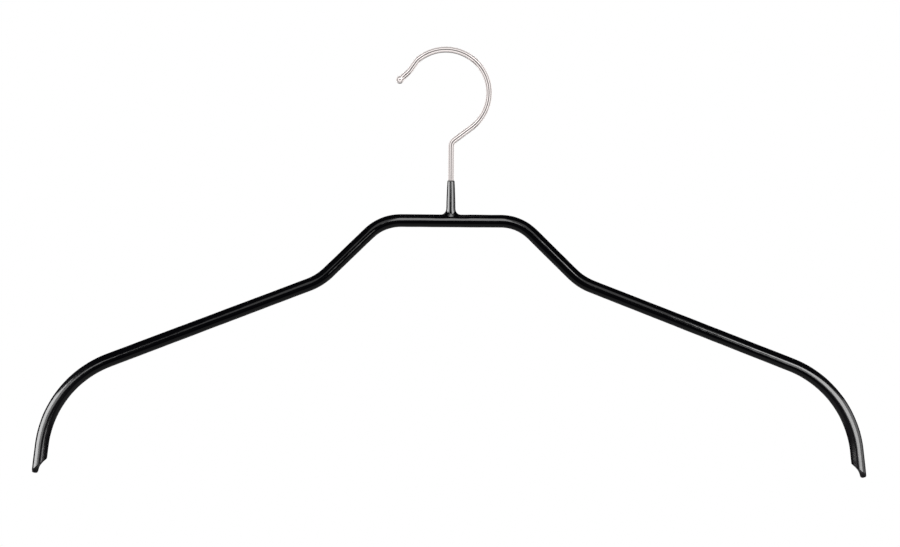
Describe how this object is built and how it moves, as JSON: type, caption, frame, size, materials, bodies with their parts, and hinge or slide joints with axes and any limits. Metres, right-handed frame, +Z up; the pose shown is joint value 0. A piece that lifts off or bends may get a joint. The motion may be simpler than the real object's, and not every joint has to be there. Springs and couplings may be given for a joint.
{
  "type": "clothes hanger",
  "caption": "Slim coated-metal clothes hanger: a bent steel rod in black non-slip vinyl with drooping shoulder tips, under a plated wire hook with a ball tip that swivels in the neck.",
  "frame": {"origin": "where the hook's inside rests on top of its rail, on the wire's underside", "axes": "+Z up; +X along the shoulders, away from the hook's open side; +Y through the hanger's thickness"},
  "size_m": [0.4109, 0.0066, 0.2113],
  "materials": {
    "chrome_wire": "bright nickel and chrome plate",
    "drawn_steel": "cold drawn, bare under the coating",
    "sleeve_steel": "drawn tube, bare under the coating",
    "brass_braze": "as brazed",
    "black_vinyl": "glossy dip coat, slightly wavy"
  },
  "bodies": {
    "hook": {"swivel_hook": "chrome_wire"},
    "shoulders": {"shoulder_rod": "drawn_steel", "neck_sleeve": "sleeve_steel", "braze_fillet": "brass_braze", "vinyl_coating": "black_vinyl"}
  },
  "joints": [
    {"name": "hook_swivel", "type": "hinge", "parent": "hook", "child": "shoulders", "pos_m": [0.00285, 0, -0.0749], "axis": [0, 0, 1], "continuous": true}
  ]
}
